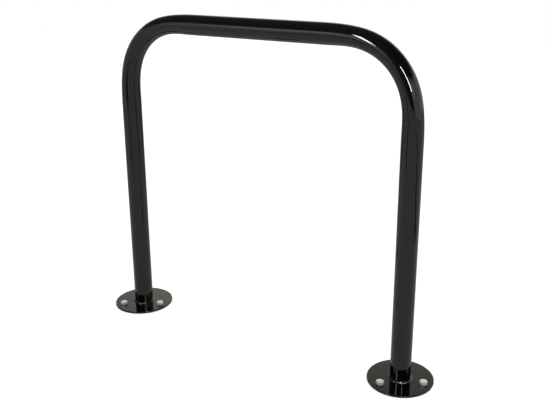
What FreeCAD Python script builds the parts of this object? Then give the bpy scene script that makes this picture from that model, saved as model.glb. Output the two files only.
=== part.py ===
import FreeCAD, Part

import math
import os

import Sketcher

# Hoop bike rack for a hard pavement: one round tube bent into a hoop, a round plate welded
# under each leg, and three screw anchors through each plate into the ground.
# Millimetres. X runs from the left leg to the right leg, Y from front to back, Z up.
# The origin is on the ground, midway between the legs.

# Driving sizes, each set by itself
SIZES = {
    # hoop
    "tube_outer": 50.8,
    "tube_wall": 3,
    "leg_spacing": 815,
    "hoop_height": 838,
    "bend_radius": 172,
    # base plates
    "plate_diameter": 162,
    "plate_thickness": 5,
    "plate_edge_break": 0.8,
    "drain_hole_diameter": 16,
    # fillet weld between tube and plate
    "weld_side": 5,
    "weld_face_radius": 8,
    # holes for the anchors, evenly spaced on a circle
    "anchors_per_plate": 3,
    "hole_edge_distance": 21,
    "hole_clearance": 2,
    # screw anchors
    "neck_diameter": 10,
    "core_diameter": 9,
    "embedment": 70,
    "tip_taper_length": 8,
    "tip_diameter": 5,
    "head_across_flats": 17,
    "head_height": 6.4,
    "head_bevel_angle": 30,
    "head_bevel_share": 0.95,
    # washers
    "washer_outer": 20,
    "washer_thickness": 2,
    "washer_clearance": 0.5,
    # how far each head ended up turned when it was driven home
    "left_inner_turn": 12,
    "left_back_turn": 41,
    "left_front_turn": 25,
    "right_outer_turn": 5,
    "right_back_turn": 33,
    "right_front_turn": 20,
}

# Sizes that follow from the driving sizes
DERIVED = {
    "tube_radius": "tube_outer / 2",
    "rail_level": "hoop_height - tube_outer / 2",
    "foot_offset": "leg_spacing / 2",
    "plate_radius": "plate_diameter / 2",
    "anchor_circle_radius": "plate_diameter / 2 - hole_edge_distance",
    "anchor_step_angle": "360 / anchors_per_plate",
    "anchor_hole_radius": "(neck_diameter + hole_clearance) / 2",
    "washer_bore_radius": "(neck_diameter + washer_clearance) / 2",
    "head_seat_level": "plate_thickness + washer_thickness",
    "head_corner_radius": "head_across_flats / 2 / cos(30 deg)",
}

# The plates are drilled alike, so the place of a hole has another name on each foot
FEET = {
    "left": (-1, ["inner", "back", "front"]),
    "right": (1, ["outer", "back", "front"]),
}

HEX_SIDES = 6
# how far the cutter of the head's bevel reaches past the corners
CUT_MARGIN = 1

doc = FreeCAD.newDocument("HoopBikeRack")
sheet = doc.addObject("Spreadsheet::Sheet", "Dimensions")


def fill_sheet():
    """Puts every size in the sheet, with its name beside it and as its alias."""
    cells = list(SIZES.items()) + [(name, "=" + formula) for name, formula in DERIVED.items()]
    for row, (name, content) in enumerate(cells, start=1):
        sheet.set(f"A{row}", name)
        sheet.set(f"B{row}", str(content))
        sheet.setAlias(f"B{row}", name)
    doc.recompute()


def size(name):
    """The formula text for one size of the sheet."""
    return "Dimensions." + name


def amount(formula):
    """The number that a formula gives now."""
    result = sheet.evalExpression(formula)
    return float(getattr(result, "Value", result))


def new_body(label):
    body = doc.addObject("PartDesign::Body", label)
    body.Label = label
    return body


def origin_feature(body, role):
    return next(f for f in body.Origin.OriginFeatures if f.Role == role)


def new_sketch(body, name, plane):
    sketch = body.newObject("Sketcher::SketchObject", name)
    sketch.AttachmentSupport = [(origin_feature(body, plane), "")]
    sketch.MapMode = "FlatFace"
    return sketch


def limit(sketch, name, formula, *constraint):
    """Adds one named constraint whose value is a formula."""
    number = sketch.addConstraint(Sketcher.Constraint(*constraint, amount(formula)))
    sketch.renameConstraint(number, name)
    sketch.setExpression("Constraints." + name, formula)


def place_point(sketch, name, geometry, point, x_formula, y_formula):
    """Fixes one point of a sketch at two formulas, measured from the sketch's origin."""
    limit(sketch, name + "_across", x_formula, "DistanceX", -1, 1, geometry, point)
    limit(sketch, name + "_up", y_formula, "DistanceY", -1, 1, geometry, point)


def draw_circle(sketch, name, radius_formula, x_formula="0", y_formula="0"):
    centre = FreeCAD.Vector(amount(x_formula), amount(y_formula), 0)
    circle = Part.Circle(centre, FreeCAD.Vector(0, 0, 1), amount(radius_formula))
    number = sketch.addGeometry(circle)
    if (x_formula, y_formula) == ("0", "0"):
        sketch.addConstraint(Sketcher.Constraint("Coincident", number, 3, -1, 1))
    else:
        place_point(sketch, name, number, 3, x_formula, y_formula)
    limit(sketch, name + "_radius", radius_formula, "Radius", number)


def draw_outline(sketch, corners):
    """Draws a closed outline of straight lines, each corner fixed at two formulas."""
    points = [FreeCAD.Vector(amount(x), amount(y), 0) for x, y in corners]
    lines = [
        sketch.addGeometry(Part.LineSegment(start, end))
        for start, end in zip(points, points[1:] + points[:1])
    ]
    for line, following in zip(lines, lines[1:] + lines[:1]):
        sketch.addConstraint(Sketcher.Constraint("Coincident", line, 2, following, 1))
    for number, (line, (x, y)) in enumerate(zip(lines, corners)):
        place_point(sketch, f"corner{number}", line, 1, x, y)


def turn_round(body, sketch, kind="PartDesign::Revolution"):
    """Turns a sketch of the XZ plane one full turn about the body's Z axis."""
    feature = body.newObject(kind, sketch.Name + "Turned")
    feature.Profile = sketch
    feature.ReferenceAxis = (origin_feature(body, "Z_Axis"), [""])
    feature.Angle = 360
    sketch.Visibility = False
    return feature


def raise_up(body, sketch, height_formula):
    """Pads a sketch upwards by a formula."""
    pad = body.newObject("PartDesign::Pad", sketch.Name + "Raised")
    pad.Profile = sketch
    pad.setExpression("Length", height_formula)
    return pad


def stand_at(body, x_formula, y_formula="0", turn_formula="0"):
    """Places a body on the ground, turned about its own upright axis."""
    body.setExpression("Placement.Base.x", x_formula)
    body.setExpression("Placement.Base.y", y_formula)
    body.Placement.Rotation = FreeCAD.Rotation(FreeCAD.Vector(0, 0, 1), 0)
    body.setExpression("Placement.Rotation.Angle", turn_formula)


def draw_hoop_path(path):
    """Leg, bend, rail, bend and leg as one line, every joint tangent."""
    side, foot = size("foot_offset"), size("plate_thickness")
    top, bend = size("rail_level"), size("bend_radius")
    half_span, low, high, radius = amount(side), amount(foot), amount(top), amount(bend)
    turn_x, turn_z = half_span - radius, high - radius
    shoulder = radius / math.sqrt(2)
    corners = [
        FreeCAD.Vector(x, z, 0)
        for x, z in [(-half_span, low), (-half_span, turn_z), (-turn_x, high),
                     (turn_x, high), (half_span, turn_z), (half_span, low)]
    ]
    left_middle = FreeCAD.Vector(-turn_x - shoulder, turn_z + shoulder, 0)
    right_middle = FreeCAD.Vector(turn_x + shoulder, turn_z + shoulder, 0)
    left_leg = path.addGeometry(Part.LineSegment(corners[0], corners[1]))
    left_bend = path.addGeometry(Part.Arc(corners[1], left_middle, corners[2]))
    rail = path.addGeometry(Part.LineSegment(corners[2], corners[3]))
    right_bend = path.addGeometry(Part.Arc(corners[3], right_middle, corners[4]))
    right_leg = path.addGeometry(Part.LineSegment(corners[4], corners[5]))
    # both arcs are stored anticlockwise, so each one starts at its right-hand end
    joints = [(left_leg, 2, left_bend, 2), (left_bend, 1, rail, 1),
              (rail, 2, right_bend, 2), (right_bend, 1, right_leg, 1)]
    for joint in joints:
        path.addConstraint(Sketcher.Constraint("Tangent", *joint))
    path.addConstraint(Sketcher.Constraint("Vertical", left_leg))
    path.addConstraint(Sketcher.Constraint("Vertical", right_leg))
    path.addConstraint(Sketcher.Constraint("Horizontal", rail))
    path.addConstraint(Sketcher.Constraint("Equal", left_bend, right_bend))
    limit(path, "bend", bend, "Radius", left_bend)
    limit(path, "left_side", "-" + side, "DistanceX", -1, 1, left_leg, 1)
    limit(path, "right_side", side, "DistanceX", -1, 1, right_leg, 2)
    limit(path, "left_foot", foot, "DistanceY", -1, 1, left_leg, 1)
    limit(path, "right_foot", foot, "DistanceY", -1, 1, right_leg, 2)
    limit(path, "rail_height", top, "DistanceY", -1, 1, rail, 1)


def make_hoop():
    """One tube with two tangent bends, standing on the plates and open at both ends."""
    body = new_body("hoop_tube")
    path = new_sketch(body, "HoopPath", "XZ_Plane")
    draw_hoop_path(path)
    section = new_sketch(body, "TubeSection", "XY_Plane")
    section.setExpression("AttachmentOffset.Base.z", size("plate_thickness"))
    left_foot = "-" + size("foot_offset")
    draw_circle(section, "outside", size("tube_radius"), left_foot)
    draw_circle(section, "inside", size("tube_radius") + " - " + size("tube_wall"), left_foot)
    doc.recompute()
    pipe = body.newObject("PartDesign::AdditivePipe", "BentTube")
    pipe.Profile = section
    pipe.Spine = path
    stand_at(body, "0")
    return body


def make_base_plate(foot, side):
    """A round plate with a broken edge, a drain hole under the tube and the anchor holes."""
    body = new_body(foot + "_base_plate")
    profile = new_sketch(body, "PlateProfile", "XZ_Plane")
    inside = size("drain_hole_diameter") + " / 2"
    rim, rim_break = size("plate_radius"), size("plate_edge_break")
    top = size("plate_thickness")
    draw_outline(profile, [
        (inside, "0"),
        (f"{rim} - {rim_break}", "0"),
        (rim, rim_break),
        (rim, f"{top} - {rim_break}"),
        (f"{rim} - {rim_break}", top),
        (inside, top),
    ])
    turn_round(body, profile)
    doc.recompute()
    hole = new_sketch(body, "AnchorHole", "XY_Plane")
    draw_circle(hole, "hole", size("anchor_hole_radius"), size("anchor_circle_radius"))
    cut = body.newObject("PartDesign::Pocket", "FirstAnchorHole")
    cut.Profile = hole
    cut.Type = "ThroughAll"
    cut.Midplane = True
    doc.recompute()
    holes = body.newObject("PartDesign::PolarPattern", "AnchorHoles")
    holes.Originals = [cut]
    holes.Axis = (origin_feature(body, "Z_Axis"), [""])
    holes.Angle = 360
    holes.setExpression("Occurrences", size("anchors_per_plate"))
    body.Tip = holes
    stand_at(body, f"{side} * " + size("foot_offset"))
    return body


def make_foot_weld(foot, side):
    """A fillet weld with a slightly raised face, run once round the tube on top of the plate."""
    body = new_body(foot + "_foot_weld")
    bead = new_sketch(body, "WeldBead", "XZ_Plane")
    tube, top, leg = size("tube_radius"), size("plate_thickness"), size("weld_side")
    inner, low, width = amount(tube), amount(top), amount(leg)
    corner = FreeCAD.Vector(inner, low, 0)
    toe = FreeCAD.Vector(inner + width, low, 0)
    crest = FreeCAD.Vector(inner, low + width, 0)
    radius = amount(size("weld_face_radius"))
    middle = (toe + crest) / 2
    outward = FreeCAD.Vector(1, 1, 0).normalize()
    half_chord = (toe - crest).Length / 2
    rise = radius - math.sqrt(radius ** 2 - half_chord ** 2)
    base = bead.addGeometry(Part.LineSegment(corner, toe))
    face = bead.addGeometry(Part.Arc(toe, middle + outward * rise, crest))
    back = bead.addGeometry(Part.LineSegment(crest, corner))
    bead.addConstraint(Sketcher.Constraint("Coincident", base, 2, face, 1))
    bead.addConstraint(Sketcher.Constraint("Coincident", face, 2, back, 1))
    bead.addConstraint(Sketcher.Constraint("Coincident", back, 2, base, 1))
    place_point(bead, "corner", base, 1, tube, top)
    place_point(bead, "toe", base, 2, f"{tube} + {leg}", top)
    place_point(bead, "crest", back, 1, tube, f"{top} + {leg}")
    limit(bead, "face_radius", size("weld_face_radius"), "Radius", face)
    turn_round(body, bead)
    stand_at(body, f"{side} * " + size("foot_offset"))
    return body


def anchor_place(side, hole):
    """Formulas for where one anchor stands, counted round its plate from the +X side."""
    angle = f"{hole} * {size('anchor_step_angle')} * 1 deg"
    circle = size("anchor_circle_radius")
    x = f"{side} * {size('foot_offset')} + {circle} * cos({angle})"
    y = f"{circle} * sin({angle})"
    return x, y


def make_anchor_screw(name, side, hole):
    """A screw anchor: plain neck in the plate, core in the ground, bevelled hexagon head."""
    body = new_body(name + "_anchor_screw")
    shank = new_sketch(body, "Shank", "XZ_Plane")
    seat, depth = size("head_seat_level"), "-" + size("embedment")
    neck, core = size("neck_diameter") + " / 2", size("core_diameter") + " / 2"
    tip = size("tip_diameter") + " / 2"
    draw_outline(shank, [
        ("0", depth),
        (tip, depth),
        (core, f"{depth} + {size('tip_taper_length')}"),
        (core, "0"),
        (neck, "0"),
        (neck, seat),
        ("0", seat),
    ])
    turn_round(body, shank)
    doc.recompute()
    hexagon = new_sketch(body, "Head", "XY_Plane")
    hexagon.setExpression("AttachmentOffset.Base.z", seat)
    corner = size("head_corner_radius")
    turns = [f"{360 / HEX_SIDES * number} deg" for number in range(HEX_SIDES)]
    draw_outline(hexagon, [(f"{corner} * cos({turn})", f"{corner} * sin({turn})") for turn in turns])
    raise_up(body, hexagon, size("head_height"))
    doc.recompute()
    bevel = new_sketch(body, "HeadBevel", "XZ_Plane")
    top = f"{seat} + {size('head_height')}"
    start = f"{size('head_bevel_share')} * {size('head_across_flats')} / 2"
    end = f"{corner} + {CUT_MARGIN}"
    drop = f"({end} - {start}) * tan({size('head_bevel_angle')} * 1 deg)"
    draw_outline(bevel, [(start, top), (end, f"{top} - {drop}"), (end, top)])
    turn_round(body, bevel, "PartDesign::Groove")
    stand_at(body, *anchor_place(side, hole), size(name + "_turn"))
    return body


def make_washer(name, side, hole):
    """A flat washer between the head and the plate."""
    body = new_body(name + "_washer")
    ring = new_sketch(body, "Ring", "XY_Plane")
    ring.setExpression("AttachmentOffset.Base.z", size("plate_thickness"))
    draw_circle(ring, "outside", size("washer_outer") + " / 2")
    draw_circle(ring, "bore", size("washer_bore_radius"))
    raise_up(body, ring, size("washer_thickness"))
    stand_at(body, *anchor_place(side, hole))
    return body


def make_all():
    bodies = [make_hoop()]
    for foot, (side, holes) in FEET.items():
        bodies.append(make_base_plate(foot, side))
        bodies.append(make_foot_weld(foot, side))
        for hole, place in enumerate(holes):
            bodies.append(make_anchor_screw(f"{foot}_{place}", side, hole))
            bodies.append(make_washer(f"{foot}_{place}", side, hole))
    return bodies


def check_document(bodies):
    """Stops if any object failed or any piece isn't one sound solid."""
    for thing in doc.Objects:
        faults = [state for state in thing.State if state in ("Invalid", "Error")]
        if faults:
            raise RuntimeError(f"{thing.Label} is {faults}")
    for body in bodies:
        shape = body.Shape
        if shape.isNull() or not shape.isValid() or len(shape.Solids) != 1:
            raise RuntimeError(f"{body.Label} isn't one sound solid")


def check_holes(bodies):
    """Stops if the anchor holes took less from a plate than their own volume."""
    for body in bodies:
        if not body.Label.endswith("_base_plate"):
            continue
        blank = next(f for f in body.Group if f.TypeId == "PartDesign::Revolution").Shape.Volume
        hole_area = math.pi * amount(size("anchor_hole_radius")) ** 2
        holes = amount(size("anchors_per_plate")) * hole_area * amount(size("plate_thickness"))
        print(body.Label, "blank", round(blank, 1), "less holes", round(body.Shape.Volume, 1))
        if abs(blank - body.Shape.Volume - holes) > holes / 100:
            raise RuntimeError(f"{body.Label} lacks its anchor holes")


def write_parts(bodies):
    os.makedirs("parts", exist_ok=True)
    for body in bodies:
        body.Shape.exportStep(f"parts/{body.Label}.step")
        box = body.Shape.BoundBox
        print(f"{body.Label:28} {body.Shape.Volume:12.1f} mm3  "
              f"x {box.XMin:.1f} to {box.XMax:.1f}, y {box.YMin:.1f} to {box.YMax:.1f}, "
              f"z {box.ZMin:.1f} to {box.ZMax:.1f}")


fill_sheet()
pieces = make_all()
doc.recompute()
check_document(pieces)
check_holes(pieces)
write_parts(pieces)
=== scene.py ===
# %% [markdown]
# Hoop bike rack: one round tube bent into a hoop, a round plate welded under each leg, and
# three screw anchors with washers through each plate. The whole of it, apart from the bright
# zinc fixings, is powder coated gloss black. Gloss black has almost no colour of its own: what
# the eye sees is the room, so this lesson spends as much care on what surrounds the rack as on
# the rack itself.

# %% Load the measured model
import math

import bmesh
import bpy
from mathutils import Matrix, Vector


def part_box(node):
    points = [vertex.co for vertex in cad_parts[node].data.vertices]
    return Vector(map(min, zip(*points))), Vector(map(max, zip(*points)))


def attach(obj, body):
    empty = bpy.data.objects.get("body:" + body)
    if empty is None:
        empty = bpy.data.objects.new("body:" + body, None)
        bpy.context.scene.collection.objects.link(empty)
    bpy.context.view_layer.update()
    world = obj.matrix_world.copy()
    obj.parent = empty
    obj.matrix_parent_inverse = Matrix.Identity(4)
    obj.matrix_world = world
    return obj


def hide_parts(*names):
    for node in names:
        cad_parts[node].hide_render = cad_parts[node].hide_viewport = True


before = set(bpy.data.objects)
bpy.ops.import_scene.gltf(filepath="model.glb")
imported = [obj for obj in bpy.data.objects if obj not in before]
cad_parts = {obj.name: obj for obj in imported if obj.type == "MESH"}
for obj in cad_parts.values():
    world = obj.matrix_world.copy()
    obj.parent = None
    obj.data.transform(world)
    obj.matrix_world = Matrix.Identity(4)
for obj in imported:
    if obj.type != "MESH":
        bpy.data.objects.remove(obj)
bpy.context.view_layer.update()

BODY = "root"
MM = 0.001

# %% [markdown]
# Heights are read from the measured model, so the dressed pieces sit exactly where the plain
# ones are. Widths of round things are written here as on the drawing, because a box round a
# faceted circle is a little smaller than the circle. For the same reason the plates are made
# a hair smaller than drawn, so that they stay inside the measured model's box.

# %% Sizes of the rack, in metres
hoop_low, hoop_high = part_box("hoop_tube")
screw_low, screw_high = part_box("left_inner_anchor_screw")

TUBE_RADIUS = 25.4 * MM
TUBE_WALL = 3 * MM
BEND_RADIUS = 172 * MM
LEG_PLACE = 407.5 * MM
RAIL_LEVEL = hoop_high[2] - TUBE_RADIUS
BOX_CLEARANCE = 0.03 * MM
PLATE_RADIUS = 81 * MM - BOX_CLEARANCE
PLATE_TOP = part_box("left_base_plate")[1][2]
PLATE_EDGE = 0.9 * MM
DRAIN_RADIUS = 8 * MM
ANCHOR_COUNT = 3
ANCHOR_CIRCLE = 60 * MM
ANCHOR_HOLE = 6 * MM
WELD_SIDE = 5 * MM
WASHER_RADIUS = 10 * MM
WASHER_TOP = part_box("left_inner_washer")[1][2]
WASHER_BORE = 5.25 * MM
HEAD_FLATS = 17 * MM
HEAD_TOP = screw_high[2]
NECK_RADIUS = 5 * MM
CORE_RADIUS = 4.5 * MM
SCREW_TIP = screw_low[2]
TIP_RADIUS = 2.5 * MM
TIP_TAPER = 8 * MM
FEET = {"left": -LEG_PLACE, "right": LEG_PLACE}
HEAD_TURNS = {
    "left_inner": 12, "left_back": 41, "left_front": 25,
    "right_outer": 5, "right_back": 33, "right_front": 20,
}
print("anchors, with their heads' turns in degrees:", HEAD_TURNS)
print(f"leg axes {2 * LEG_PLACE:.4f} m apart, rail axis {RAIL_LEVEL:.4f} m up")

# %% [markdown]
# The camera stands to the right and in front of the rack, above the rail, and looks a little
# down. Its place and lens were worked out from the outline of the tube: with the tube's real
# diameter known, one lens and one place make all the edges fall where the picture has them.
# The picture was cropped a little off its middle, which the small shift stands for.

# %% Camera, with angles in radians
CAMERA_PLACE = Vector((0.9609, -1.4300, 0.9644))
CAMERA_HEADING = 0.5080
CAMERA_DOWN = 0.2918
CAMERA_LEAN = -0.0124
FOCAL_LENGTH = 46.717
SENSOR_WIDTH = 36
CROP_SHIFT = (-0.0728, -0.0526)

camera_data = bpy.data.cameras.new("camera")
camera_data.lens = FOCAL_LENGTH
camera_data.sensor_width = SENSOR_WIDTH
camera_data.shift_x, camera_data.shift_y = CROP_SHIFT
camera = bpy.data.objects.new("camera", camera_data)
bpy.context.scene.collection.objects.link(camera)
camera.matrix_world = (
    Matrix.Translation(CAMERA_PLACE)
    @ Matrix.Rotation(CAMERA_HEADING, 4, "Z")
    @ Matrix.Rotation(math.pi / 2 - CAMERA_DOWN, 4, "X")
    @ Matrix.Rotation(-CAMERA_LEAN, 4, "Z")
)
bpy.context.scene.camera = camera
bpy.context.scene.view_settings.view_transform = "Standard"
print("camera", tuple(round(v, 3) for v in camera.location), "lens", FOCAL_LENGTH)

# %% [markdown]
# Node trees are easier to read when each node is made in one line. The first helper makes a
# node, sets its plain values and joins its inputs to other nodes' outputs. The others are the
# few steps that come back all the time: arithmetic, a smooth ramp and a mix of two colours.

# %% Helpers for node trees


def add_node(tree, kind, inputs=None, **settings):
    """Makes a node. inputs maps a socket's name or number to a value or to another output."""
    node = tree.nodes.new(kind)
    for name, value in settings.items():
        setattr(node, name, value)
    for key, value in (inputs or {}).items():
        if isinstance(value, bpy.types.NodeSocket):
            tree.links.new(value, node.inputs[key])
        else:
            node.inputs[key].default_value = value
    return node


def math_node(tree, operation, *values):
    """One step of arithmetic on numbers or outputs."""
    node = add_node(tree, "ShaderNodeMath", dict(enumerate(values)), operation=operation)
    return node.outputs[0]


def vector_node(tree, operation, inputs):
    """One step of arithmetic on vectors. Its outputs are named Vector and Value."""
    return add_node(tree, "ShaderNodeVectorMath", inputs, operation=operation).outputs


def ramp_up(tree, value, low, high, out_low=0.0, out_high=1.0):
    """Smoothly goes from out_low to out_high while value goes from low to high."""
    node = add_node(tree, "ShaderNodeMapRange", {
        "Value": value, "From Min": low, "From Max": high, "To Min": out_low, "To Max": out_high,
    }, interpolation_type="SMOOTHSTEP")
    return node.outputs["Result"]


def blend(tree, share, first, second):
    """A colour between two others: the first where share is 0, the second where it is 1.

    A Mix node takes its two colours at sockets 6 and 7 and gives the mixed one at output 2.
    """
    mix = add_node(tree, "ShaderNodeMix", {0: share, 6: first, 7: second}, data_type="RGBA")
    return mix.outputs[2]


print("helpers for node trees are ready")

# %% [markdown]
# The studio: pale walls that end below a dark ceiling. The rail's upper half mirrors the ceiling
# and turns black, and its lower half mirrors the walls and the floor and turns grey. There is a
# dark gap in front, where the camera stands between two lamps, and a bright patch to the left
# of it, which draws the light line along the middle of the rail. Real panels would do, but a
# sky that depends on direction alone does the same and lights every view alike. Each wall is a
# soft-edged patch of that sky. Its azimuth is the way to its middle, counted from +X.

# %% Walls of the studio, with angles in degrees
BELOW = (-60, -50)
WALLS = {
    "left": dict(azimuth=176, half_width=43, fade=8, brightness=0.37, top=(16, 22)),
    "front left": dict(azimuth=-121, half_width=16, fade=4, brightness=0.78, top=(17, 21)),
    "bright patch": dict(
        azimuth=-112, half_width=14, fade=6, brightness=1.0, top=(15, 19), bottom=(-2, 12)),
    "right": dict(azimuth=10, half_width=58, fade=5, brightness=0.90, top=(22, 32)),
    "right corner": dict(
        azimuth=-36, half_width=15, fade=7, brightness=0.75, top=(18, 26), bottom=(4, 12)),
    "back": dict(azimuth=105, half_width=32, fade=12, brightness=1.02, top=(22, 42)),
}


def rise(tree, height, edge, low=0.0, high=1.0):
    """Goes from low to high while the direction climbs through the two angles of edge."""
    return ramp_up(tree, height, *(math.sin(math.radians(angle)) for angle in edge), low, high)


def wall_panel(tree, flat, height, azimuth, half_width, fade, brightness, top, bottom=BELOW):
    """Light from one part of the walls. It fades out at its sides, its top and its bottom."""
    facing = (math.cos(math.radians(azimuth)), math.sin(math.radians(azimuth)), 0.0)
    toward = vector_node(tree, "DOT_PRODUCT", {0: flat, 1: facing})["Value"]
    outer = math.cos(math.radians(half_width + fade))
    inner = math.cos(math.radians(half_width - fade))
    side = ramp_up(tree, toward, outer, inner)
    under_top = rise(tree, height, top, brightness, 0.0)
    over_bottom = rise(tree, height, bottom)
    return math_node(tree, "MULTIPLY", math_node(tree, "MULTIPLY", side, under_top), over_bottom)


print("walls:", list(WALLS))

# %% [markdown]
# The world shader adds up the walls and the dim light of the ceiling, which is dimmer still on
# the right. The camera itself sees plain white, so the room is never seen but in reflections.

# %% Sky
WALL_TINT = (1.0, 0.955, 0.91)
CEILING_TINT = (1.0, 0.88, 0.77)
CEILING = 0.12
CEILING_RIGHT = 0.05
CEILING_FADE = (0.0, 0.5)
WHITE = (1, 1, 1, 1)

world = bpy.data.worlds.new("studio")
bpy.context.scene.world = world
world.use_nodes = True
sky = world.node_tree
sky.nodes.clear()
direction = add_node(sky, "ShaderNodeTexCoord").outputs["Generated"]
split = add_node(sky, "ShaderNodeSeparateXYZ", {0: direction}).outputs
level = vector_node(sky, "MULTIPLY", {0: direction, 1: (1, 1, 0)})["Vector"]
flat = vector_node(sky, "NORMALIZE", {0: level})["Vector"]
walls = 0.0
for values in WALLS.values():
    walls = math_node(sky, "ADD", walls, wall_panel(sky, flat, split["Z"], **values))
ceiling = ramp_up(sky, split["X"], *CEILING_FADE, CEILING, CEILING_RIGHT)
lit = vector_node(sky, "SCALE", {0: WALL_TINT, "Scale": walls})["Vector"]
dim = vector_node(sky, "SCALE", {0: CEILING_TINT, "Scale": ceiling})["Vector"]
room = vector_node(sky, "ADD", {0: lit, 1: dim})["Vector"]
seen = add_node(sky, "ShaderNodeLightPath").outputs["Is Camera Ray"]
background = add_node(sky, "ShaderNodeBackground", {"Color": blend(sky, seen, room, WHITE)})
add_node(sky, "ShaderNodeOutputWorld", {"Surface": background.outputs[0]})
print("sky nodes:", len(sky.nodes))

# %% [markdown]
# A plain pale floor. Its own brightness in reflections is lower than the brightness the camera
# sees, as in a picture whose white is pushed until the floor drops out: only a soft shadow under
# each plate is left. In reflections its colour also gets a painted shade towards the back left
# corner, standing for light falling off there, so the legs' left edges, which mirror that
# corner, stay dark.

# %% Floor
FLOOR_REACH = 7.0
FLOOR_DROP = 0.0002
FLOOR_COLOUR = (0.77, 0.755, 0.73, 1.0)
# Colour of the painted shade that the floor takes on in reflections near the back left corner.
FLOOR_CORNER_SHADE = (0.36, 0.35, 0.335, 1.0)
FLOOR_LIFT = 0.54
TO_CORNER = (-0.6, 0.8, 0.0)
CORNER_FADE = (0.2, 1.3)


def flat_sheet(name, corners, material):
    """A flat four-cornered sheet that belongs to the studio."""
    mesh = bpy.data.meshes.new(name)
    mesh.from_pydata(corners, [], [range(len(corners))])
    sheet = bpy.data.objects.new(name, mesh)
    mesh.materials.append(material)
    bpy.context.scene.collection.objects.link(sheet)
    return sheet


def new_material(name):
    material = bpy.data.materials.new(name)
    material.use_nodes = True
    material.node_tree.nodes.clear()
    return material


floor_finish = new_material("studio_floor")
tree = floor_finish.node_tree
spot = add_node(tree, "ShaderNodeTexCoord").outputs["Object"]
# Painted shade: in reflections the floor's colour darkens towards the back left corner, for light
# falling off there.
away = vector_node(tree, "DOT_PRODUCT", {0: spot, 1: TO_CORNER})["Value"]
corner = ramp_up(tree, away, *CORNER_FADE)
shaded_floor_tone = blend(tree, corner, FLOOR_COLOUR, FLOOR_CORNER_SHADE)
mirrored = add_node(tree, "ShaderNodeBsdfDiffuse", {"Color": shaded_floor_tone})
pale = add_node(tree, "ShaderNodeBsdfDiffuse", {"Color": FLOOR_COLOUR})
lift = add_node(tree, "ShaderNodeEmission", {"Color": WHITE, "Strength": FLOOR_LIFT})
both = add_node(tree, "ShaderNodeAddShader", {0: pale.outputs[0], 1: lift.outputs[0]})
seen = add_node(tree, "ShaderNodeLightPath").outputs["Is Camera Ray"]
choice = add_node(tree, "ShaderNodeMixShader", {0: seen, 1: mirrored.outputs[0], 2: both.outputs[0]})
add_node(tree, "ShaderNodeOutputMaterial", {"Surface": choice.outputs[0]})
floor_corners = [
    (FLOOR_REACH * x, FLOOR_REACH * y, -FLOOR_DROP) for x, y in ((-1, -1), (1, -1), (1, 1), (-1, 1))
]
flat_sheet("studio_floor", floor_corners, floor_finish)
print("floor", 2 * FLOOR_REACH, "m wide")

# %% [markdown]
# A wide, soft light straight overhead, kept out of the reflections, lights the floor evenly.
# Two softboxes on either side of the camera are only there to be mirrored: each draws one thin
# white streak on the right-hand bend. Both are tall strips, and the right one is narrower and
# stands nearer. Both lean, which is read from how each streak lies across the tube.

# %% Lights
OVERHEAD_SPREAD = math.radians(70)
OVERHEAD_STRENGTH = 1.8


def new_light(name, kind):
    data = bpy.data.lights.new(name, kind)
    light = bpy.data.objects.new(name, data)
    bpy.context.scene.collection.objects.link(light)
    return light


overhead = new_light("overhead", "SUN")
overhead.data.angle = OVERHEAD_SPREAD
overhead.data.energy = OVERHEAD_STRENGTH
overhead.visible_glossy = False


def softbox_light(name, place, target, width, height, lean, radiance):
    """A bright panel that faces its target and is seen in reflections only. Lean in degrees.

    A flat lamp's power is its radiance times pi times its area.
    """
    light = new_light(name, "AREA")
    light.data.shape = "RECTANGLE"
    light.data.size = width
    light.data.size_y = height
    light.data.energy = radiance * math.pi * width * height
    facing = (Vector(target) - Vector(place)).to_track_quat("-Z", "Y").to_matrix().to_4x4()
    leaning = Matrix.Rotation(math.radians(lean), 4, "Z")
    light.matrix_world = Matrix.Translation(place) @ facing @ leaning
    light.visible_camera = False
    light.visible_diffuse = False


SOFTBOXES = {
    "softbox_left": dict(
        place=(-0.42, -2.26, 1.85), width=0.28, height=0.86, lean=20, radiance=32),
    "softbox_right": dict(
        place=(1.31, -1.146, 1.305), width=0.12, height=0.72, lean=33, radiance=50),
}
RIGHT_BEND = (0.35, 0.0, 0.77)
for name, values in SOFTBOXES.items():
    softbox_light(name, target=RIGHT_BEND, **values)

# %% [markdown]
# Thin dark things stand about in a studio, and a dark line in a reflection is what shows that a
# surface is round. A low pole with an arm, in front on the left, and a cable that hangs down
# beside the camera and runs along the floor on the right give the legs their fine dark lines.
# Each is a flat ribbon along a route. No camera sees them: only reflections do.

# %% Pole and cable
CARD_BLACK = (0.004, 0.004, 0.004, 1.0)
POLE = [(-0.46, -1.60, 0.0), (-0.44, -1.60, 0.42)]
POLE_ARM = [(-0.46, -1.55, 0.40), (-0.95, -1.50, 0.30)]
CABLE_HANGING = [(0.98, -1.45, 0.92), (1.33, -1.42, 0.73), (1.82, -1.42, 0.60), (2.15, -1.42, 0.26)]
CABLE_LEVEL = 4 * MM
CABLE_FLOOR = [(x, y, CABLE_LEVEL) for x, y in (
    (3.10, -2.30), (2.85, -1.20), (2.66, -0.62), (2.27, -0.30),
    (1.92, -0.12), (1.62, 0.10), (1.33, 0.27),
)]

black = new_material("studio_card")
tree = black.node_tree
matt = add_node(tree, "ShaderNodeBsdfDiffuse", {"Color": CARD_BLACK})
add_node(tree, "ShaderNodeOutputMaterial", {"Surface": matt.outputs[0]})


def dark_ribbon(name, route, half_width):
    """A black ribbon along a route. half_width is a vector from its middle to its edge."""
    side = Vector(half_width)
    for number, (start, end) in enumerate(zip(route, route[1:])):
        start, end = Vector(start), Vector(end)
        corners = [start - side, end - side, end + side, start + side]
        piece = flat_sheet(f"{name}_{number}", corners, black)
        piece.visible_camera = False
        piece.visible_diffuse = False
        piece.visible_shadow = False
        piece.visible_transmission = False


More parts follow.
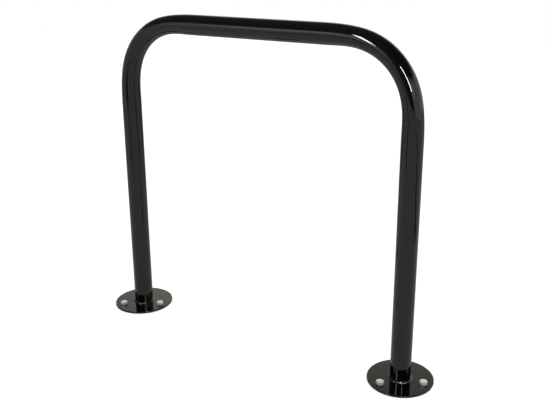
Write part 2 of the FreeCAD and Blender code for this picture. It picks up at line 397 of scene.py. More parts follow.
dark_ribbon("pole", POLE, half_width=(0.10, 0, 0))
dark_ribbon("pole_arm", POLE_ARM, half_width=(0, 0, 0.05))
dark_ribbon("cable_hanging", CABLE_HANGING, half_width=(0.02, 0, 0.03))
dark_ribbon("cable_floor", CABLE_FLOOR, half_width=(0.05, 0.10, 0))
print("ribbons on", len(POLE) + len(POLE_ARM) + len(CABLE_HANGING) + len(CABLE_FLOOR), "points")

# %% [markdown]
# All finishes on the rack are made alike. A group works out what varies over the surface, its
# colour, roughness and normal, and one surface shader in the material takes them. These
# helpers make an empty group with named inputs, a cloudy noise, and a material round a group.

# %% Helpers for finishes


def finish_group(name, inputs):
    """An empty shader group with named inputs, which puts out a colour, roughness and normal."""
    group = bpy.data.node_groups.new(name, "ShaderNodeTree")
    face = group.interface
    for label, value in inputs.items():
        socket = face.new_socket(name=label, in_out="INPUT", socket_type="NodeSocketFloat")
        socket.default_value = value
    face.new_socket(name="Colour", in_out="OUTPUT", socket_type="NodeSocketColor")
    face.new_socket(name="Roughness", in_out="OUTPUT", socket_type="NodeSocketFloat")
    face.new_socket(name="Normal", in_out="OUTPUT", socket_type="NodeSocketVector")
    return group, add_node(group, "NodeGroupInput").outputs


def noise(tree, place, scale, **settings):
    """Cloudy noise between 0 and 1. The larger the scale, the smaller the clouds."""
    inputs = {"Vector": place, "Scale": scale}
    inputs.update({key.title(): value for key, value in settings.items()})
    return add_node(tree, "ShaderNodeTexNoise", inputs).outputs["Fac"]


def finished(name, group, values, **surface_values):
    """A material that feeds a group's colour, roughness and normal to one surface shader."""
    material = new_material(name)
    tree = material.node_tree
    skin = add_node(tree, "ShaderNodeGroup", node_tree=group)
    for key, value in values.items():
        skin.inputs[key].default_value = value
    surface = add_node(tree, "ShaderNodeBsdfPrincipled", {
        "Base Color": skin.outputs["Colour"],
        "Roughness": skin.outputs["Roughness"],
        "Normal": skin.outputs["Normal"],
        **surface_values,
    })
    add_node(tree, "ShaderNodeOutputMaterial", {"Surface": surface.outputs[0]})
    return material


print("helpers for finishes are ready")

# %% [markdown]
# Powder coat is sprayed on dry and melted in an oven. It flows out almost flat, but not quite:
# a fine waviness called orange peel stays, and bends every reflection a little. Shop handling
# leaves faint patches where the gloss is duller, and dust caught in the coat shows as specks.
# All this is the same on tube, plates and welds, so they share one group. On the welds it
# mirrors a little more, so that the crests of the ripples glint as the real ones do.

# %% Powder coat, shared by three finishes
COAT_COLOUR = (0.0024, 0.0023, 0.0022, 1.0)
PEEL_DEPTH = 1 * MM
PATCH_SCALE = 9.0
PATCH_EDGE = (0.45, 0.75)
DUST_COLOUR = (0.020, 0.019, 0.018, 1.0)
DUST_SCALE = 1400.0
DUST_EDGE = (0.72, 0.80)
TUBE_SKIN = {"Peel Size": 260.0, "Peel Height": 0.04, "Gloss": 0.03, "Haze": 0.02}
PLATE_SKIN = {"Peel Size": 330.0, "Peel Height": 0.08, "Gloss": 0.045, "Haze": 0.04}
WELD_SKIN = {"Peel Size": 500.0, "Peel Height": 0.03, "Gloss": 0.02, "Haze": 0.02}


def coat_group():
    group, start = finish_group("powder_coat_skin", TUBE_SKIN)
    place = add_node(group, "ShaderNodeTexCoord").outputs["Object"]
    peel = noise(group, place, start["Peel Size"], detail=2.0, roughness=0.4)
    bump = add_node(group, "ShaderNodeBump", {
        "Height": peel, "Strength": start["Peel Height"], "Distance": PEEL_DEPTH,
    })
    patches = noise(group, place, PATCH_SCALE, detail=5.0, roughness=0.6)
    haze = math_node(group, "MULTIPLY", ramp_up(group, patches, *PATCH_EDGE), start["Haze"])
    rough = math_node(group, "ADD", haze, start["Gloss"])
    dust = ramp_up(group, noise(group, place, DUST_SCALE, detail=1.0), *DUST_EDGE)
    colour = blend(group, dust, COAT_COLOUR, DUST_COLOUR)
    made = {"Colour": colour, "Roughness": rough, "Normal": bump.outputs[0]}
    add_node(group, "NodeGroupOutput", made)
    return group


COAT = coat_group()
tube_coat = finished("coat_on_tube", COAT, TUBE_SKIN, IOR=1.5)
plate_coat = finished("coat_on_plate", COAT, PLATE_SKIN, IOR=1.5)
weld_coat = finished("coat_on_weld", COAT, WELD_SKIN, IOR=1.6)
print("coats:", tube_coat.name, plate_coat.name, weld_coat.name)

# %% [markdown]
# Bright zinc plate is a thin layer of metal. Close up it is cloudy, with fine marks left by
# forging and by the spanner, and it is part mirror and part pale matt paint. So the small
# heads look pale from every side, whatever they mirror. The washers are the same zinc, but
# their colour gets a painted shade, near black, so they read as a dark line under each head.

# %% Zinc, shared by screws and washers
ZINC_DULL = (0.74, 0.74, 0.72, 1.0)
ZINC_BRIGHT = (0.96, 0.96, 0.94, 1.0)
# Near black colour of the painted shade on the washers, which draws a dark line under each head.
ZINC_SHADE = (0.05, 0.05, 0.05, 1.0)
ZINC_METALLIC = 0.4
CLOUD_ROUGHNESS = 0.12
MARK_SCALE = 700.0
MARK_DEPTH = 0.4 * MM
SCREW_SKIN = {"Cloud Size": 160.0, "Mark Height": 0.25, "Polish": 0.26, "Painted Shade": 0.0}
WASHER_SKIN = {"Cloud Size": 220.0, "Mark Height": 0.15, "Polish": 0.28, "Painted Shade": 0.75}


def zinc_group():
    group, start = finish_group("zinc_plate", SCREW_SKIN)
    place = add_node(group, "ShaderNodeTexCoord").outputs["Object"]
    cloud = noise(group, place, start["Cloud Size"], detail=4.0)
    unshaded = blend(group, cloud, ZINC_DULL, ZINC_BRIGHT)
    # Painted shade: the washers' share of it turns their zinc near black, a dark line under each head.
    colour = blend(group, start["Painted Shade"], unshaded, ZINC_SHADE)
    rough = math_node(group, "MULTIPLY_ADD", cloud, CLOUD_ROUGHNESS, start["Polish"])
    bump = add_node(group, "ShaderNodeBump", {
        "Height": noise(group, place, MARK_SCALE, detail=3.0),
        "Strength": start["Mark Height"], "Distance": MARK_DEPTH,
    })
    made = {"Colour": colour, "Roughness": rough, "Normal": bump.outputs[0]}
    add_node(group, "NodeGroupOutput", made)
    return group


ZINC = zinc_group()
screw_zinc = finished("zinc_on_screw", ZINC, SCREW_SKIN, Metallic=ZINC_METALLIC)
washer_zinc = finished("zinc_on_washer", ZINC, WASHER_SKIN, Metallic=ZINC_METALLIC)
print("zinc:", screw_zinc.name, washer_zinc.name)

# %% [markdown]
# The Geometry Nodes trees share the same small steps. These helpers make a tree with named
# inputs, a circle and a sweep along a path, move and join parts, and end the tree with plain
# geometry and a finish, because instances are lost when a model is exported.

# %% Helpers for Geometry Nodes
JOIN_GAP = 0.01 * MM


def geometry_tree(name, sizes):
    """A tree whose group inputs are the given named sizes."""
    tree = bpy.data.node_groups.new(name, "GeometryNodeTree")
    for size, value in sizes.items():
        kind = "NodeSocketInt" if isinstance(value, int) else "NodeSocketFloat"
        tree.interface.new_socket(name=size, in_out="INPUT", socket_type=kind)
    tree.interface.new_socket(name="Geometry", in_out="OUTPUT", socket_type="NodeSocketGeometry")
    return tree, add_node(tree, "NodeGroupInput").outputs


def point(tree, x=0.0, y=0.0, z=0.0):
    return add_node(tree, "ShaderNodeCombineXYZ", {0: x, 1: y, 2: z}).outputs[0]


def circle_path(tree, radius, steps):
    """A circle round the upright axis, which runs anticlockwise seen from above."""
    inputs = {"Radius": radius, "Resolution": steps}
    return add_node(tree, "GeometryNodeCurvePrimitiveCircle", inputs).outputs[0]


def sweep(tree, path, profile):
    """Carries a profile along a path. On a circle its X points outwards and its Y down."""
    skin = add_node(tree, "GeometryNodeCurveToMesh", {"Curve": path, "Profile Curve": profile})
    shade = {"Geometry": skin.outputs[0], "Shade Smooth": True}
    return add_node(tree, "GeometryNodeSetShadeSmooth", shade).outputs[0]


def moved(tree, geometry, place):
    inputs = {0: geometry, "Translation": place}
    return add_node(tree, "GeometryNodeTransform", inputs).outputs[0]


def together(tree, *parts):
    node = tree.nodes.new("GeometryNodeJoinGeometry")
    for part in reversed(parts):
        tree.links.new(part, node.inputs[0])
    return node.outputs[0]


def end_tree(tree, geometry, material):
    """Ends a tree: no instances, no double points, and a finish on every face."""
    real = add_node(tree, "GeometryNodeRealizeInstances", {0: geometry}).outputs[0]
    one = add_node(tree, "GeometryNodeMergeByDistance", {0: real, "Distance": JOIN_GAP}).outputs[0]
    finish = add_node(tree, "GeometryNodeSetMaterial", {0: one, "Material": material}).outputs[0]
    add_node(tree, "NodeGroupOutput", {0: finish})


print("helpers for Geometry Nodes are ready")

# %% [markdown]
# A tree runs once on an empty mesh, and the result is kept as a plain mesh with its faces
# turned outwards. A finished piece then rides on its body, the measured node it stands for is
# hidden, and its box is compared with the node's.

# %% Helpers that keep a piece and put it in place of its node


def new_object(name, mesh):
    piece = bpy.data.objects.new(name, mesh)
    bpy.context.scene.collection.objects.link(piece)
    return piece


def run_tree(name, tree, sizes, sharp_angle=35):
    """Runs a tree with these sizes and keeps the result as a plain mesh object."""
    holder = new_object(name + "_holder", bpy.data.meshes.new(name + "_empty"))
    modifier = holder.modifiers.new("shape", "NODES")
    modifier.node_group = tree
    for item in tree.interface.items_tree:
        if item.in_out == "INPUT":
            modifier[item.identifier] = sizes[item.name]
    bpy.context.view_layer.update()
    evaluated = holder.evaluated_get(bpy.context.evaluated_depsgraph_get())
    mesh = bpy.data.meshes.new_from_object(evaluated)
    mesh.name = name
    bpy.data.objects.remove(holder)
    shape = bmesh.new()
    shape.from_mesh(mesh)
    bmesh.ops.recalc_face_normals(shape, faces=shape.faces)
    shape.to_mesh(mesh)
    shape.free()
    mesh.set_sharp_from_angle(angle=math.radians(sharp_angle))
    return new_object(name, mesh)


def mesh_box(piece):
    places = [v.co for v in piece.data.vertices]
    low = [min(p[i] for p in places) for i in range(3)]
    high = [max(p[i] for p in places) for i in range(3)]
    return low, high


def hand_in(piece, node):
    """Puts a piece on the body it rides on, hides the measured node it stands for, and prints how far
    its box is from the node's.
    """
    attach(piece, BODY)
    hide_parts(node)
    drift = max(abs(a - b) for corner, place in zip(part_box(node), mesh_box(piece))
                for a, b in zip(corner, place))
    print(f"{piece.name}: {len(piece.data.polygons)} faces, box within {drift / MM:.2f} mm")


print("pieces ride on", BODY)

# %% [markdown]
# The hoop is one length of 50.8 mm tube. On a bending machine each corner is drawn round a
# former, and a Fillet Curve node rounds the corners of a path of four points, two feet and two
# corners, in the same way. But a bend in this tube is not quite a true arc: it is tighter in
# its middle and eases into the straights. So the arc is made somewhat too tight, and then a
# Blur Attribute node moves each point of the path towards the middle of its neighbours.

# %% Path of the hoop
MIDDLE_INDEX = 1.5
hoop_sizes = {
    "Leg Place": LEG_PLACE, "Foot Level": hoop_low[2], "Rail Level": RAIL_LEVEL,
    "Bend Radius": BEND_RADIUS, "Bend Steps": 80, "Tube Radius": TUBE_RADIUS,
    "Bore Radius": TUBE_RADIUS - TUBE_WALL, "Round Steps": 96, "Flattening": 0.075,
    "Tightening": 12 * MM, "Path Step": 6 * MM, "Easing Rounds": 50, "Lead": 50 * MM,
}


def four_points(tree):
    """Four points in a row, which of them are past the middle, and which are the inner two.

    The points are numbered 0 to 3, so the middle of the row is at 1.5.
    """
    row = add_node(tree, "GeometryNodeMeshLine", {"Count": 4}).outputs[0]
    index = add_node(tree, "GeometryNodeInputIndex").outputs[0]
    past_middle = math_node(tree, "GREATER_THAN", index, MIDDLE_INDEX)
    from_middle = math_node(tree, "ABSOLUTE", math_node(tree, "SUBTRACT", index, MIDDLE_INDEX))
    return row, past_middle, math_node(tree, "LESS_THAN", from_middle, 1.0)


def rounded_path(tree, row, places, radius, steps):
    """Puts the points of a row in their places, joins them and rounds the corners."""
    placed = add_node(tree, "GeometryNodeSetPosition", {0: row, "Position": places}).outputs[0]
    path = add_node(tree, "GeometryNodeMeshToCurve", {0: placed}).outputs[0]
    corner = {"Curve": path, "Radius": radius, "Count": steps}
    return add_node(tree, "GeometryNodeFilletCurve", corner, mode="POLY").outputs[0]


def hoop_path(tree, start):
    """Foot, corner, corner, foot: the first two on the left, the middle two at the rail."""
    row, on_right, is_corner = four_points(tree)
    side = math_node(tree, "MULTIPLY_ADD", on_right, 2.0, -1.0)
    x = math_node(tree, "MULTIPLY", side, start["Leg Place"])
    height = math_node(tree, "SUBTRACT", start["Rail Level"], start["Foot Level"])
    z = math_node(tree, "MULTIPLY_ADD", is_corner, height, start["Foot Level"])
    radius = math_node(tree, "SUBTRACT", start["Bend Radius"], start["Tightening"])
    return rounded_path(tree, row, point(tree, x, 0.0, z), radius, start["Bend Steps"])


def ease_path(tree, start, path):
    """Eases the bends into the straights, and leaves both feet where they are."""
    steps = {"Curve": path, "Length": start["Path Step"]}
    even = add_node(tree, "GeometryNodeResampleCurve", steps, mode="LENGTH").outputs[0]
    foot = add_node(tree, "GeometryNodeCurveEndpointSelection").outputs[0]
    eased = add_node(tree, "GeometryNodeBlurAttribute", {
        "Value": add_node(tree, "GeometryNodeInputPosition").outputs[0],
        "Iterations": start["Easing Rounds"],
        "Weight": math_node(tree, "SUBTRACT", 1.0, foot),
    }, data_type="FLOAT_VECTOR").outputs[0]
    return add_node(tree, "GeometryNodeSetPosition", {0: even, "Position": eased}).outputs[0]


print("sizes of the hoop:", {name: round(value, 4) for name, value in hoop_sizes.items()})

# %% [markdown]
# Cold bending also flattens a tube: in the middle of each bend it is a few per cent thinner
# than on the straights. Here every point of the surface near a bend is drawn towards the
# bend's arc, by a share that grows with the angle the point has turned round a centre. For
# that angle the centre is set back by the lead, so that the flattening starts on the straight.

# %% Flattened bends
FULLY_TURNED = 0.36
LEAST_REACH = 1 * MM


def past(tree, place, limit, lead=0.0, least=0.0):
    """How far a place lies past a limit, which the lead brings nearer. Never under least."""
    beyond = math_node(tree, "ADD", math_node(tree, "SUBTRACT", place, limit), lead)
    return math_node(tree, "MAXIMUM", beyond, least)


def sum_of_squares(tree, a, b):
    return math_node(tree, "MULTIPLY_ADD", a, a, math_node(tree, "MULTIPLY", b, b))


def bend_share(tree, start, across, up):
    """Goes from 0 to the full flattening, which it has from about 23 to 67 degrees.

    Across times up over their sum of squares is half the sine of twice the angle turned.
    """
    turned = math_node(tree, "MULTIPLY", across, up)
    turned = math_node(tree, "DIVIDE", turned, sum_of_squares(tree, across, up))
    return ramp_up(tree, turned, 0.0, FULLY_TURNED, 0.0, start["Flattening"])


def flatten_bends(tree, start, mesh):
    """Draws the surface towards the arc, in full over the middle of each bend."""
    place = add_node(tree, "GeometryNodeInputPosition").outputs[0]
    split = add_node(tree, "ShaderNodeSeparateXYZ", {0: place}).outputs
    x, wide, z = split["X"], math_node(tree, "ABSOLUTE", split["X"]), split["Z"]
    centre_x = math_node(tree, "SUBTRACT", start["Leg Place"], start["Bend Radius"])
    centre_z = math_node(tree, "SUBTRACT", start["Rail Level"], start["Bend Radius"])
    led_across = past(tree, wide, centre_x, start["Lead"], LEAST_REACH)
    share = bend_share(tree, start, led_across, past(tree, z, centre_z, start["Lead"]))
    across, up = past(tree, wide, centre_x), past(tree, z, centre_z)
    away = math_node(tree, "SQRT", sum_of_squares(tree, across, up))
    off_arc = math_node(tree, "SUBTRACT", start["Bend Radius"], away)
    move = math_node(tree, "MULTIPLY", share, off_arc)
    move = math_node(tree, "DIVIDE", move, math_node(tree, "MAXIMUM", away, LEAST_REACH))
    outwards = math_node(tree, "MULTIPLY", across, move)
    side = math_node(tree, "MULTIPLY", math_node(tree, "SIGN", x), outwards)
    offset = point(tree, side, 0.0, math_node(tree, "MULTIPLY", up, move))
    return add_node(tree, "GeometryNodeSetPosition", {0: mesh, "Offset": offset}).outputs[0]


print(f"bends flattened by {100 * hoop_sizes['Flattening']:.1f} per cent")

# %% [markdown]
# One circle swept along the path makes the outside of the tube and a smaller one the bore. A
# flat ring closes the wall at each foot, where the tube stands on its plate.

# %% Hoop


def hoop_tree():
    tree, start = geometry_tree("bent_tube", hoop_sizes)
    path = ease_path(tree, start, hoop_path(tree, start))
    outside = circle_path(tree, start["Tube Radius"], start["Round Steps"])
    bore = circle_path(tree, start["Bore Radius"], start["Round Steps"])
    ring = add_node(tree, "GeometryNodeFillCurve", {0: together(tree, outside, bore)}, mode="NGONS")
    feet = []
    for sign in (-1.0, 1.0):
        x = math_node(tree, "MULTIPLY", start["Leg Place"], sign)
        feet.append(moved(tree, ring.outputs[0], point(tree, x, 0.0, start["Foot Level"])))
    parts = [sweep(tree, path, outside), sweep(tree, path, bore), *feet]
    end_tree(tree, flatten_bends(tree, start, together(tree, *parts)), tube_coat)
    return tree


hoop = run_tree("hoop_tube_coated", hoop_tree(), hoop_sizes)
hand_in(hoop, "hoop_tube")

# %% [markdown]
# Each base plate is a laser-cut disc, 5 mm thick, with a drain hole in the middle and three
# anchor holes on one circle. Tumbling and the thick coat round its edges, and those narrow
# round edges catch the light as thin lines. The rule is the same for the rim and for every
# hole: fill the flat faces up to the rounding, then sweep one rounded strip along each circle.
# The strip is a path of four points again: a lip, two corners and a lip.

# %% Rounded edge of a plate
LIP_TO_EDGE = 1.4
plate_sizes = {
    "Foot Place": 0.0, "Level": PLATE_TOP, "Plate Radius": PLATE_RADIUS, "Edge": PLATE_EDGE,
    "Drain Radius": DRAIN_RADIUS, "Anchor Circle": ANCHOR_CIRCLE, "Anchor Hole": ANCHOR_HOLE,
    "Anchor Count": ANCHOR_COUNT, "Rim Steps": 288, "Hole Steps": 72, "Edge Steps": 5,
}


def edge_strip(tree, start):
    """A flat lip, a rounded corner, the edge, another corner and a lip, from top to bottom."""
    row, at_bottom, at_edge = four_points(tree)
    lip = math_node(tree, "MULTIPLY", start["Edge"], LIP_TO_EDGE)
    x = math_node(tree, "MULTIPLY", at_edge, lip)
    top = math_node(tree, "MULTIPLY", start["Level"], -1.0)
    y = math_node(tree, "MULTIPLY", math_node(tree, "SUBTRACT", 1.0, at_bottom), top)
    return rounded_path(tree, row, point(tree, x, y), start["Edge"], start["Edge Steps"]), lip


print(f"plates {PLATE_TOP:.4f} m thick, with edges rounded by {PLATE_EDGE:.4f} m")

# %% [markdown]
# The circles of the anchor holes are instances of one circle on the points of another. The
# circles of all holes run the other way round than the rim's, so that the rounded edge of the
# strip faces into each hole.

# %% Base plates


def hole_circles(tree, start, lip):
    """The drain and the anchor holes, each wider by the lip."""
    drain = circle_path(tree, math_node(tree, "ADD", start["Drain Radius"], lip), start["Hole Steps"])
    hole = circle_path(tree, math_node(tree, "ADD", start["Anchor Hole"], lip), start["Hole Steps"])
    ring = add_node(tree, "GeometryNodeMeshCircle", {
        "Vertices": start["Anchor Count"], "Radius": start["Anchor Circle"],
    }).outputs[0]
    holes = add_node(tree, "GeometryNodeInstanceOnPoints", {"Points": ring, "Instance": hole})
    holes = add_node(tree, "GeometryNodeRealizeInstances", {0: holes.outputs[0]}).outputs[0]
    return add_node(tree, "GeometryNodeReverseCurve", {0: together(tree, drain, holes)}).outputs[0]


def plate_tree():
    tree, start = geometry_tree("drilled_disc", plate_sizes)
    strip, lip = edge_strip(tree, start)
    rim = circle_path(tree, math_node(tree, "SUBTRACT", start["Plate Radius"], lip), start["Rim Steps"])
    inner = hole_circles(tree, start, lip)
    face = add_node(tree, "GeometryNodeFillCurve", {0: together(tree, rim, inner)}, mode="TRIANGLES")
    shade = {0: face.outputs[0], "Shade Smooth": False}
    face = add_node(tree, "GeometryNodeSetShadeSmooth", shade).outputs[0]
    top = moved(tree, face, point(tree, z=start["Level"]))
    parts = [face, top, sweep(tree, rim, strip), sweep(tree, inner, strip)]
    end_tree(tree, moved(tree, together(tree, *parts), point(tree, start["Foot Place"])), plate_coat)
    return tree


disc = plate_tree()
for foot, place in FEET.items():
    plate = run_tree(f"{foot}_base_plate_coated", disc, {**plate_sizes, "Foot Place": place})
    hand_in(plate, f"{foot}_base_plate")

# %% [markdown]
# The weld is laid by hand or on a turntable, one small puddle after another. Each puddle
# freezes as a crescent on the last, so the bead carries ripples that are never quite even.
# The coat fills the finest of them, so only broad ones are made here. The bead's section is a
# triangle with a raised face.

# %% Section of a weld
weld_sizes = {
    "Foot Place": 0.0, "Level": PLATE_TOP, "Tube Radius": TUBE_RADIUS, "Side": WELD_SIDE,
    "Raise": 0.4 * MM, "Ripple Count": 38, "Ripple Height": 0.45 * MM, "Ripple Lean": 2.4,
    "Wander": 0.9 * MM, "Round Steps": 504, "Face Steps": 12, "Seed": 0.0,
}
WELD_SEEDS = {"left": 9.0, "right": 12.0}


def weld_section(tree, start):
    """A closed section: the raised face, then along the plate and up the tube."""
    side, top = start["Side"], math_node(tree, "MULTIPLY", start["Level"], -1.0)
    upper = point(tree, 0.0, math_node(tree, "SUBTRACT", top, side))
    outer = point(tree, side, top)
    root = point(tree, 0.0, top)
    reach = math_node(tree, "MULTIPLY_ADD", side, 0.5, start["Raise"])
    middle = point(tree, reach, math_node(tree, "SUBTRACT", top, reach))
    face = add_node(tree, "GeometryNodeCurveArc", {
        "Resolution": start["Face Steps"], "Start": upper, "Middle": middle, "End": outer,
    }, mode="POINTS").outputs[0]
    along = add_node(tree, "GeometryNodeCurvePrimitiveLine", {"Start": outer, "End": root})
    up = add_node(tree, "GeometryNodeCurvePrimitiveLine", {"Start": root, "End": upper})
    section = together(tree, face, along.outputs[0], up.outputs[0])
    wires = add_node(tree, "GeometryNodeCurveToMesh", {0: section}).outputs[0]
    loop = add_node(tree, "GeometryNodeMergeByDistance", {0: wires, "Distance": JOIN_GAP}).outputs[0]
    return add_node(tree, "GeometryNodeMeshToCurve", {0: loop}).outputs[0]


print(f"weld {WELD_SIDE:.4f} m up the tube and along the plate")

# %% [markdown]
# Once the section is swept round the tube, the middle of its face is pushed in and out. The
# toes stay on the tube and on the plate, because the push is weighed by how far a point is
# from both: height times reach is a quarter halfway down a flat face, and nothing at its ends.

# %% Ripples of a weld
UNEVEN_SCALE = 200.0
UNEVEN_SHIFT = 5.0
TO_FULL_PUSH = 4.0


def uneven_noise(tree, start, place):
    """Noise about nought. Its seed is a fourth coordinate, so each foot has its own."""
    inputs = {"Vector": place, "W": start["Seed"], "Scale": UNEVEN_SCALE, "Detail": 1.0}
    node = add_node(tree, "ShaderNodeTexNoise", inputs, noise_dimensions="4D")
    return math_node(tree, "SUBTRACT", node.outputs["Fac"], 0.5)


def ripple(tree, start):
    """How far each point is pushed: crescents that lean down the face, and a slow wander."""
    place = add_node(tree, "GeometryNodeInputPosition").outputs[0]
    split = add_node(tree, "ShaderNodeSeparateXYZ", {0: place}).outputs
    height = math_node(tree, "SUBTRACT", split["Z"], start["Level"])
    height = math_node(tree, "DIVIDE", height, start["Side"])
    wide = vector_node(tree, "LENGTH", {0: point(tree, split["X"], split["Y"])})["Value"]
    reach = math_node(tree, "SUBTRACT", wide, start["Tube Radius"])
    reach = math_node(tree, "DIVIDE", reach, start["Side"])
    turn = math_node(tree, "ARCTAN2", split["Y"], split["X"])
    uneven = uneven_noise(tree, start, place)
    squared = math_node(tree, "MULTIPLY", height, height)
    lean = math_node(tree, "MULTIPLY", squared, start["Ripple Lean"])
    lean = math_node(tree, "MULTIPLY_ADD", uneven, UNEVEN_SHIFT, lean)
    half_count = math_node(tree, "MULTIPLY", start["Ripple Count"], 0.5)
    phase = math_node(tree, "MULTIPLY_ADD", turn, half_count, lean)
    crest = math_node(tree, "ABSOLUTE", math_node(tree, "SINE", phase))
    wave = math_node(tree, "MULTIPLY", math_node(tree, "SUBTRACT", crest, 1.0), start["Ripple Height"])
    wave = math_node(tree, "MULTIPLY_ADD", uneven, start["Wander"], wave)
    share = math_node(tree, "MULTIPLY", math_node(tree, "MULTIPLY", height, reach), TO_FULL_PUSH)
    return math_node(tree, "MULTIPLY", wave, math_node(tree, "MINIMUM", share, 1.0))


print("ripples round a weld:", weld_sizes["Ripple Count"])

# %% [markdown]
# Both welds come from one tree. The bead is rippled at the origin and then moved to its foot.
# Each foot has its own seed, because no two beads freeze alike.

# %% Foot welds


def weld_tree():
    tree, start = geometry_tree("rippled_bead", weld_sizes)
    path = circle_path(tree, start["Tube Radius"], start["Round Steps"])
    bead = sweep(tree, path, weld_section(tree, start))
    normal = add_node(tree, "GeometryNodeInputNormal").outputs[0]
    push = vector_node(tree, "SCALE", {0: normal, "Scale": ripple(tree, start)})["Vector"]
    rippled = add_node(tree, "GeometryNodeSetPosition", {0: bead, "Offset": push}).outputs[0]
    end_tree(tree, moved(tree, rippled, point(tree, start["Foot Place"])), weld_coat)
    return tree


bead = weld_tree()
for foot, place in FEET.items():
    sizes = {**weld_sizes, "Foot Place": place, "Seed": WELD_SEEDS[foot]}
    weld = run_tree(f"{foot}_foot_weld_coated", bead, sizes, sharp_angle=50)
    hand_in(weld, f"{foot}_foot_weld")

# %% [markdown]
# Small turned parts such as screws and washers are simplest as rings of points round an
# upright axis, joined with faces. Each ring is a rule that gives a radius and a height for a
# direction, so a ring can follow a hexagon as well as a circle.

# %% Helpers for turned parts


def turned_shape(rings, steps, ends_meet=False):
    """Joins rings of points round the upright axis. A ring of no radius is a single point."""
    shape = bmesh.new()
    loops = []
    for rule in rings:
        turns = [2 * math.pi * i / steps for i in range(steps)]
        if rule(0)[0] == 0:
            turns = turns[:1]
        loops.append([
            shape.verts.new((rule(t)[0] * math.cos(t), rule(t)[0] * math.sin(t), rule(t)[1]))
            for t in turns
        ])
    neighbours = loops[1:] + (loops[:1] if ends_meet else [])
    for low, high in zip(loops, neighbours):
        for i in range(steps):
            after = i + 1
            corners = [low[i % len(low)], low[after % len(low)],
                       high[after % len(high)], high[i % len(high)]]
            shape.faces.new(list(dict.fromkeys(corners)))
    return shape


def finish_shape(name, shape, material, turn, place, sharp_angle):
    """Turns and places a shape, and gives round parts smooth and hard edges crisp shading."""
    placed = Matrix.Translation((*place, 0)) @ Matrix.Rotation(turn, 4, "Z")
    bmesh.ops.transform(shape, matrix=placed, verts=shape.verts)
    bmesh.ops.recalc_face_normals(shape, faces=shape.faces)
    mesh = bpy.data.meshes.new(name)
    shape.to_mesh(mesh)
    shape.free()
    mesh.materials.append(material)
    mesh.polygons.foreach_set("use_smooth", [True] * len(mesh.polygons))
    mesh.set_sharp_from_angle(angle=math.radians(sharp_angle))
    return new_object(name, mesh)


def anchor_places():
    """Name, place and head turn of each anchor, at even angles round its leg, the first at +X."""
    for number, (name, turn) in enumerate(HEAD_TURNS.items()):
        foot = name.split("_")[0]
        angle = 2 * math.pi * (number % ANCHOR_COUNT) / ANCHOR_COUNT
        x = FEET[foot] + ANCHOR_CIRCLE * math.cos(angle)
        yield name, (x, ANCHOR_CIRCLE * math.sin(angle)), math.radians(turn)


print("anchors:", [name for name, place, turn in anchor_places()])

# %% [markdown]
# The screw anchors are forged and rolled in one piece: a hexagon head with its corners turned
# off, a plain neck through the plate, and a core with a cutting thread that grips the paving.
# The radius of the head's rings follows the hexagon, and the highest of them dips at the
# corners, as a turned bevel does.

# %% Body of a screw anchor
HEAD_BEVEL = math.tan(math.radians(30))
HEAD_CROWN = 0.95 * HEAD_FLATS / 2
HEAD_STEPS = 96
EASE = 0.3 * MM


def hexagon_radius(turn):
    """Distance from the head's axis to its side, in the direction given by turn."""
    from_side = turn % (math.pi / 3) - math.pi / 6
    return HEAD_FLATS / 2 / math.cos(from_side)


def screw_rings():
    """Rings from the tip up to the crown, each a rule that gives radius and height."""
    def plain(radius, height):
        return lambda turn: (radius, height)

    def side_top(turn):
        radius = hexagon_radius(turn)
        return radius, HEAD_TOP - (radius - HEAD_CROWN) * HEAD_BEVEL

    return [
        plain(0, SCREW_TIP),
        plain(TIP_RADIUS, SCREW_TIP),
        plain(CORE_RADIUS, SCREW_TIP + TIP_TAPER),
        plain(CORE_RADIUS, -EASE),
        plain(NECK_RADIUS, 0.0),
        plain(NECK_RADIUS, WASHER_TOP),
        plain(HEAD_FLATS / 2 - EASE, WASHER_TOP),
        lambda turn: (hexagon_radius(turn) - EASE / 2, WASHER_TOP + EASE / 2),
        lambda turn: (hexagon_radius(turn), WASHER_TOP + EASE),
        side_top,
        plain(HEAD_CROWN, HEAD_TOP - EASE / 8),
        plain(HEAD_CROWN - EASE, HEAD_TOP),
        plain(0, HEAD_TOP),
    ]


print("rings of a screw:", len(screw_rings()))

# %% [markdown]
# The thread follows a rule along a spiral, so Geometry Nodes sweep a three-cornered section
# along it and taper both of its ends. It is made once, and its faces join every screw.

# %% Anchor screws
THREAD_CORNERS = 3
THREAD_TAPER = 0.06
THREAD_END = 0.05
THREAD_START = 0.6 * TIP_TAPER
thread_sizes = {
    "Core Radius": CORE_RADIUS, "Thread Depth": 1.2 * MM, "Thread Half Width": 0.9 * MM,
    "Turns": 9.0, "Thread Low": SCREW_TIP + THREAD_START, "Thread Rise": 57 * MM,
    "Steps Per Turn": 40,
}


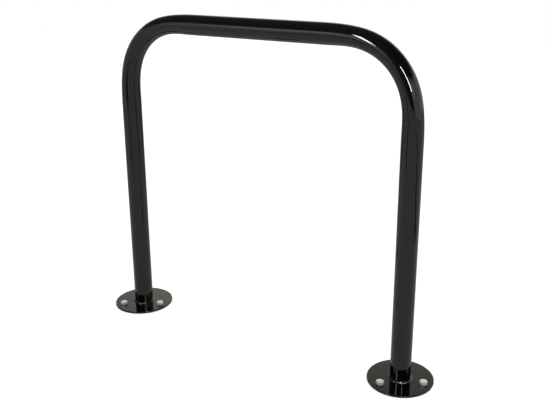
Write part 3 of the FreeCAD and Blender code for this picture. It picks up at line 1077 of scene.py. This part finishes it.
def thread_tree():
    tree, start = geometry_tree("cutting_thread", thread_sizes)
    spiral = add_node(tree, "GeometryNodeCurveSpiral", {
        "Resolution": start["Steps Per Turn"], "Rotations": start["Turns"],
        "Start Radius": start["Core Radius"], "End Radius": start["Core Radius"],
        "Height": start["Thread Rise"],
    }).outputs[0]
    along = add_node(tree, "GeometryNodeSplineParameter").outputs["Factor"]
    from_end = math_node(tree, "MINIMUM", along, math_node(tree, "SUBTRACT", 1.0, along))
    depth = ramp_up(tree, from_end, 0.0, THREAD_TAPER, THREAD_END, 1.0)
    sized = add_node(tree, "GeometryNodeSetCurveRadius", {0: spiral, "Radius": depth}).outputs[0]
    section = add_node(tree, "GeometryNodeTransform", {
        0: circle_path(tree, 1.0, THREAD_CORNERS),
        "Scale": point(tree, start["Thread Depth"], start["Thread Half Width"], 1.0),
    }).outputs[0]
    swept = add_node(tree, "GeometryNodeCurveToMesh", {
        "Curve": sized, "Profile Curve": section, "Fill Caps": True, "Scale": depth,
    }).outputs[0]
    end_tree(tree, moved(tree, swept, point(tree, z=start["Thread Low"])), screw_zinc)
    return tree


thread = run_tree("cutting_thread", thread_tree(), thread_sizes)
for name, place, turn in anchor_places():
    shape = turned_shape(screw_rings(), HEAD_STEPS)
    shape.from_mesh(thread.data)
    screw = finish_shape(f"{name}_anchor_screw_zinc", shape, screw_zinc, turn, place, sharp_angle=25)
    hand_in(screw, f"{name}_anchor_screw")
bpy.data.objects.remove(thread)

# %% [markdown]
# The washers are stamped from strip. The punch draws the upper edge round and leaves the lower
# edge nearly sharp, so a washer laid the right way up has a rounded upper rim.

# %% Washers
WASHER_ROUND = 0.5 * MM
WASHER_STEPS = 72
ROUND_STEPS = 4


def washer_rings():
    """Rings from the bore's lower edge, out along the plate, up the rim and back down the bore."""
    low, high = PLATE_TOP, WASHER_TOP
    rings = [(WASHER_BORE + EASE / 2, low), (WASHER_RADIUS - EASE / 2, low),
             (WASHER_RADIUS, low + EASE / 2)]
    for step in range(ROUND_STEPS + 1):
        angle = math.pi / 2 * step / ROUND_STEPS
        rings.append((WASHER_RADIUS - WASHER_ROUND * (1 - math.cos(angle)),
                      high - WASHER_ROUND * (1 - math.sin(angle))))
    rings += [(WASHER_BORE + EASE, high), (WASHER_BORE, high - EASE), (WASHER_BORE, low + EASE / 2)]
    return [lambda turn, ring=ring: ring for ring in rings]


for name, place, turn in anchor_places():
    shape = turned_shape(washer_rings(), WASHER_STEPS, ends_meet=True)
    washer = finish_shape(f"{name}_washer_zinc", shape, washer_zinc, turn, place, sharp_angle=35)
    hand_in(washer, f"{name}_washer")
